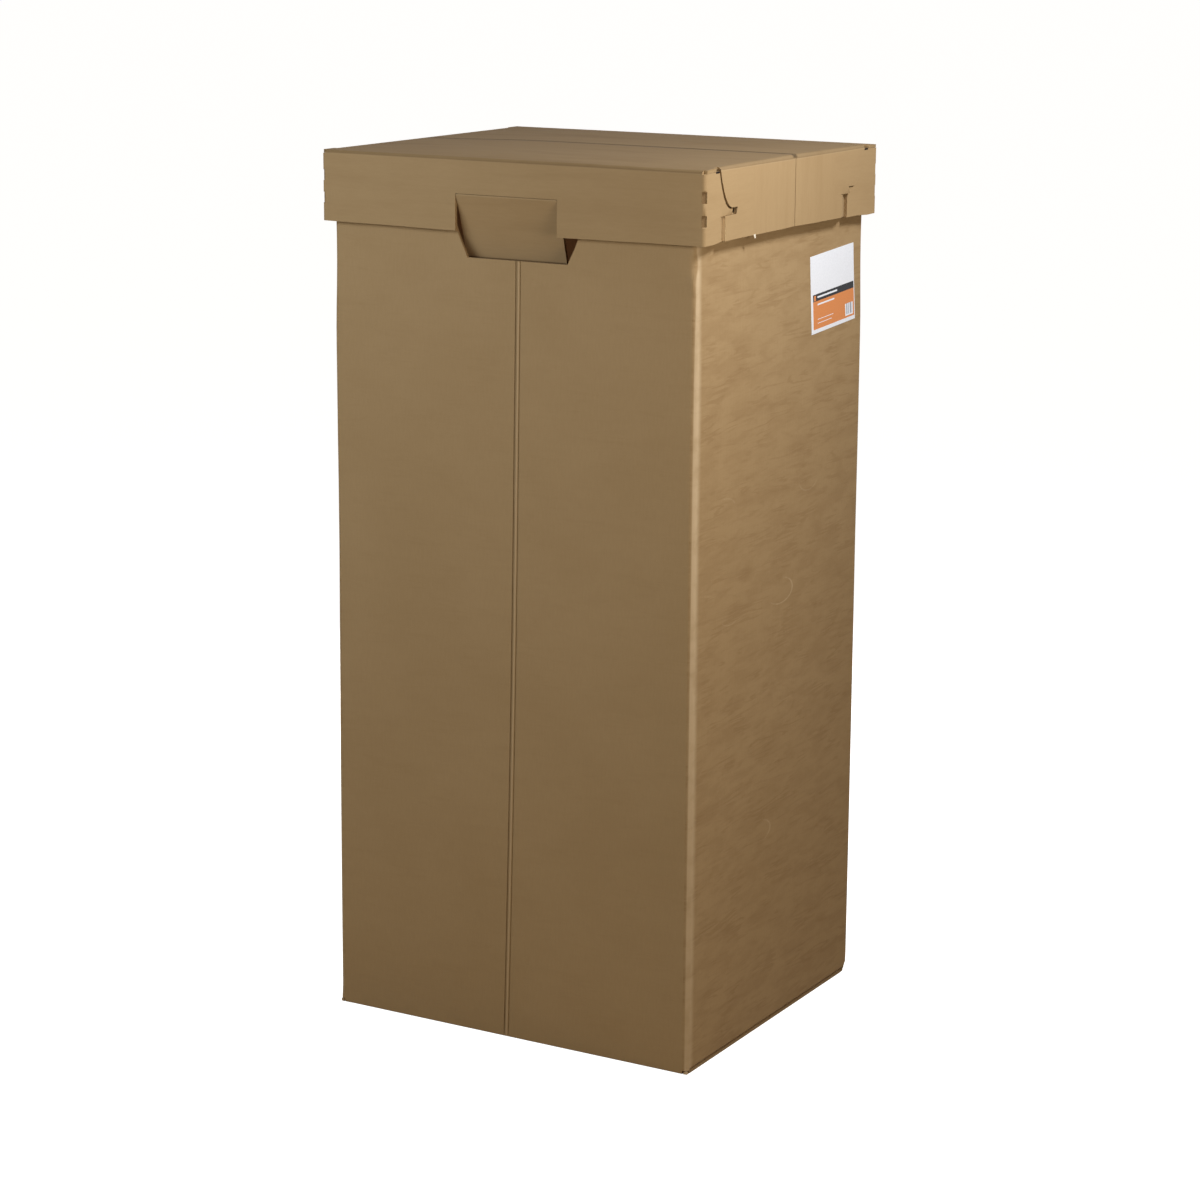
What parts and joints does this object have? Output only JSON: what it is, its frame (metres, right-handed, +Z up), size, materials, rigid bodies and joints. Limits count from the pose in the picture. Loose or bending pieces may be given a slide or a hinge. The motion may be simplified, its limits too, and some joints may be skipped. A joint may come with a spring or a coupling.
{
  "type": "wardrobe moving box",
  "caption": "Tall corrugated board wardrobe box with a telescoping lid, tuck-in hand-hold tongues and a steel hanging rail inside.",
  "frame": {"origin": "middle of the box's base, on the surface that it stands on", "axes": "+Z up, X along the wide front, front wall at -Y"},
  "size_m": [0.532, 0.462, 1.1],
  "materials": {
    "kraft_board": "matt brown kraft liner",
    "lid_board": "matt brown kraft liner",
    "rail_steel": "zinc plated folded sheet",
    "label_paper": "coated white paper with printed fields"
  },
  "bodies": {
    "carton": {"carton": "kraft_board", "hanging_rail": "rail_steel", "label": "label_paper"},
    "lid": {"lid": "lid_board"},
    "tongue_front": {"lid_tab_front": "lid_board"},
    "tongue_back": {"lid_tab_back": "lid_board"}
  },
  "joints": [
    {"name": "lid_lift", "type": "slide", "parent": "carton", "child": "lid", "axis": [0, 0, 1], "range_m": [0, 0.16]},
    {"name": "tongue_front_swing", "type": "hinge", "parent": "lid", "child": "tongue_front", "pos_m": [-0.002, -0.229, 1.0545], "axis": [1, 0, 0], "range_deg": [0, 60]},
    {"name": "tongue_back_swing", "type": "hinge", "parent": "lid", "child": "tongue_back", "pos_m": [-0.002, 0.229, 1.0545], "axis": [-1, 0, 0], "range_deg": [0, 60]}
  ]
}
